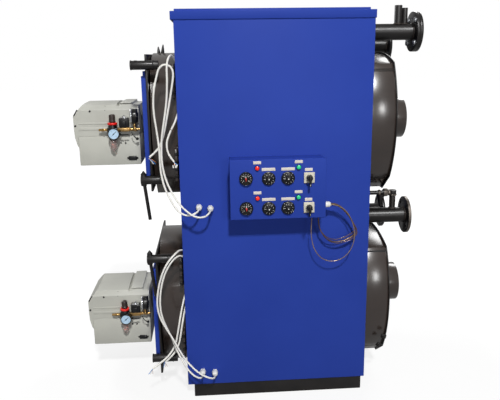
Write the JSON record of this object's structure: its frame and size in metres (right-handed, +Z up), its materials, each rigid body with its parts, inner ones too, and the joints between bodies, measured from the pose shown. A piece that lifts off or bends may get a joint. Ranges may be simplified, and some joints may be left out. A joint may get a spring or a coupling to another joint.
{
  "type": "industrial boiler",
  "caption": "Stacked twin hot-water boiler in a tall sheet casing, with swing burner doors at the front, smoke boxes and flanged pipes at the rear, and a side control box.",
  "frame": {"origin": "on the floor under the middle of the casing", "axes": "+X towards the flues, +Y towards the far side away from the control box, +Z up"},
  "size_m": [1.658, 0.956, 1.8691],
  "materials": {
    "casing_blue": "satin blue enamel",
    "black_paint": "satin black heat-resistant paint",
    "black_steel": "black primer on rolled steel sheet",
    "boiler_plate": "dark mill-scale steel",
    "burner_grey": "light grey powder coat",
    "brass": "machined brass",
    "steel": "machined steel",
    "black_plastic": "black moulded plastic",
    "dial_black": "black instrument bezel",
    "red_lens": "red lamp lens",
    "green_lens": "green lamp lens",
    "plate_grey": "light grey moulded plastic",
    "white_plastic": "white nylon",
    "lead_white": "white flexible PVC sheath",
    "lead_dark": "dark brown sheathed capillary"
  },
  "bodies": {
    "boiler": {"base_frame": "black_paint", "near_side_panel": "casing_blue", "far_side_panel": "casing_blue", "front_casing_panel": "casing_blue", "rear_casing_panel": "casing_blue", "top_cap": "casing_blue", "upper_shell": "black_steel", "upper_tube_plate": "boiler_plate", "upper_furnace": "boiler_plate", "upper_furnace_end": "boiler_plate", "upper_hinge_pin": "black_paint", "upper_smoke_box": "black_steel", "upper_smoke_box_end": "black_steel", "upper_flue_collar": "black_paint", "upper_return_pipe": "black_paint", "lower_shell": "black_steel", "lower_tube_plate": "boiler_plate", "lower_furnace": "boiler_plate", "lower_furnace_end": "boiler_plate", "lower_hinge_pin": "black_paint", "lower_smoke_box": "black_steel", "lower_smoke_box_end": "black_steel", "lower_flue_collar": "black_paint", "lower_return_pipe": "black_paint", "upper_flow_pipe": "black_paint", "upper_counter_flange": "black_paint", "lower_flow_pipe": "black_paint", "lower_flow_fitting": "black_paint", "control_box": "casing_blue", "thermometers": "dial_black", "thermostats": "dial_black", "red_lamps": "red_lens", "green_lamps": "green_lens", "switch_plates": "plate_grey", "cable_glands": "white_plastic", "control_gland": "white_plastic", "upper_lead_a": "lead_white", "upper_lead_b": "lead_white", "lower_lead_a": "lead_white", "lower_lead_b": "lead_white", "capillary_bundle": "lead_dark", "capillary_loop": "lead_dark"},
    "upper_door": {"upper_door": "black_paint", "upper_door_cover": "casing_blue", "upper_clamp_screws": "black_paint", "upper_burner_base": "burner_grey", "upper_burner_hood": "burner_grey", "upper_blast_tube": "steel", "upper_air_manifold": "brass", "upper_regulator": "black_plastic"},
    "lower_door": {"lower_door": "black_paint", "lower_door_cover": "casing_blue", "lower_clamp_screws": "black_paint", "lower_burner_base": "burner_grey", "lower_burner_hood": "burner_grey", "lower_blast_tube": "steel", "lower_air_manifold": "brass", "lower_regulator": "black_plastic"},
    "upper_switch": {"upper_switch_knob": "black_plastic"},
    "lower_switch": {"lower_switch_knob": "black_plastic"}
  },
  "joints": [
    {"name": "upper_door_hinge", "type": "hinge", "parent": "boiler", "child": "upper_door", "pos_m": [-0.573, 0.352, 1.335], "axis": [0, 0, 1], "range_deg": [-100, 0]},
    {"name": "lower_door_hinge", "type": "hinge", "parent": "boiler", "child": "lower_door", "pos_m": [-0.573, 0.352, 0.43], "axis": [0, 0, 1], "range_deg": [-100, 0]},
    {"name": "upper_switch_turn", "type": "hinge", "parent": "boiler", "child": "upper_switch", "pos_m": [0.134, -0.53, 1.12], "axis": [0, 1, 0], "range_deg": [0, 90]},
    {"name": "lower_switch_turn", "type": "hinge", "parent": "boiler", "child": "lower_switch", "pos_m": [0.134, -0.53, 0.985], "axis": [0, 1, 0], "range_deg": [0, 90]}
  ]
}
